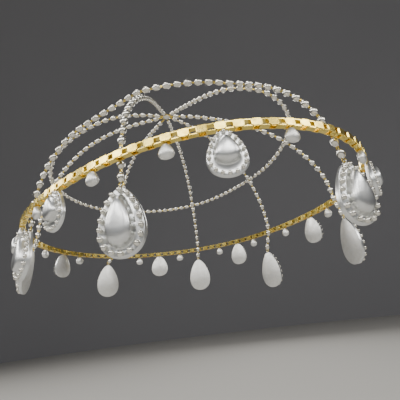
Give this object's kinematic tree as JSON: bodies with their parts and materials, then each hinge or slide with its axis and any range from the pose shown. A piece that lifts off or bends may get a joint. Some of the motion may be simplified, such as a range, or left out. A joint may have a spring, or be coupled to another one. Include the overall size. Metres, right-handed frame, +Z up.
{
  "type": "head chain",
  "caption": "Head chain: a box-chain circlet round the head, beaded strands arched over the crown, and granulated pear pendants and small smooth drops hanging round it.",
  "frame": {"origin": "middle of the circlet, level with it, where it sits round the wearer's head", "axes": "+Z up through the crown, the wearer looks along -Y, +X is the wearer's left"},
  "size_m": [0.1966, 0.184, 0.1168],
  "materials": {
    "gold": "polished 18 carat gold",
    "silver": "satin polished silver"
  },
  "bodies": {
    "head_chain": {"circlet": "gold", "crown_joint": "silver", "medium_pendant_1": "silver", "medium_pendant_2": "silver", "medium_pendant_3": "silver", "medium_pendant_4": "silver", "medium_pendant_5": "silver", "medium_pendant_6": "silver", "medium_pendant_7": "silver", "medium_pendant_8": "silver", "small_drop_1": "silver", "small_drop_10": "silver", "small_drop_11": "silver", "small_drop_12": "silver", "small_drop_13": "silver", "small_drop_14": "silver", "small_drop_15": "silver", "small_drop_16": "silver", "small_drop_2": "silver", "small_drop_3": "silver", "small_drop_4": "silver", "small_drop_5": "silver", "small_drop_6": "silver", "small_drop_7": "silver", "small_drop_8": "silver", "small_drop_9": "silver", "strand_back_centre": "silver", "strand_back_left": "silver", "strand_back_loop": "silver", "strand_back_right": "silver", "strand_front_arch": "silver", "strand_front_centre": "silver", "strand_left": "silver", "strand_right": "silver"},
    "large_pendant_1": {"large_pendant_1": "silver"},
    "large_pendant_2": {"large_pendant_2": "silver"},
    "large_pendant_3": {"large_pendant_3": "silver"},
    "large_pendant_4": {"large_pendant_4": "silver"},
    "large_pendant_5": {"large_pendant_5": "silver"},
    "large_pendant_6": {"large_pendant_6": "silver"},
    "large_pendant_7": {"large_pendant_7": "silver"},
    "large_pendant_8": {"large_pendant_8": "silver"}
  },
  "joints": [
    {"name": "front_pendant_swing", "type": "hinge", "parent": "head_chain", "child": "large_pendant_1", "pos_m": [-0.00561, -0.08125, -0.01089], "axis": [0.9987, -0.0502, 0], "range_deg": [-45, 45]},
    {"name": "right_front_pendant_swing", "type": "hinge", "parent": "head_chain", "child": "large_pendant_2", "pos_m": [0.07545, -0.06467, -0.00739], "axis": [0.9078, 0.4195, 0], "range_deg": [-45, 45]},
    {"name": "right_pendant_swing", "type": "hinge", "parent": "head_chain", "child": "large_pendant_3", "pos_m": [0.09095, -0.00616, -0.01389], "axis": [-0.2331, 0.9725, 0], "range_deg": [-45, 45]},
    {"name": "right_back_pendant_swing", "type": "hinge", "parent": "head_chain", "child": "large_pendant_4", "pos_m": [0.05383, 0.05339, -0.01589], "axis": [-0.6801, 0.7331, 0], "range_deg": [-45, 45]},
    {"name": "back_pendant_swing", "type": "hinge", "parent": "head_chain", "child": "large_pendant_5", "pos_m": [-0.00117, 0.08405, -0.00889], "axis": [-0.9899, 0.1419, 0], "range_deg": [-45, 45]},
    {"name": "left_back_pendant_swing", "type": "hinge", "parent": "head_chain", "child": "large_pendant_6", "pos_m": [-0.07276, 0.06519, -0.00689], "axis": [-0.7448, -0.6673, 0], "range_deg": [-45, 45]},
    {"name": "left_pendant_swing", "type": "hinge", "parent": "head_chain", "child": "large_pendant_7", "pos_m": [-0.08838, -0.00706, -0.00739], "axis": [0.3565, -0.9343, 0], "range_deg": [-45, 45]},
    {"name": "left_front_pendant_swing", "type": "hinge", "parent": "head_chain", "child": "large_pendant_8", "pos_m": [-0.06834, -0.03882, -0.00589], "axis": [0.7651, -0.6439, 0], "range_deg": [-45, 45]}
  ]
}
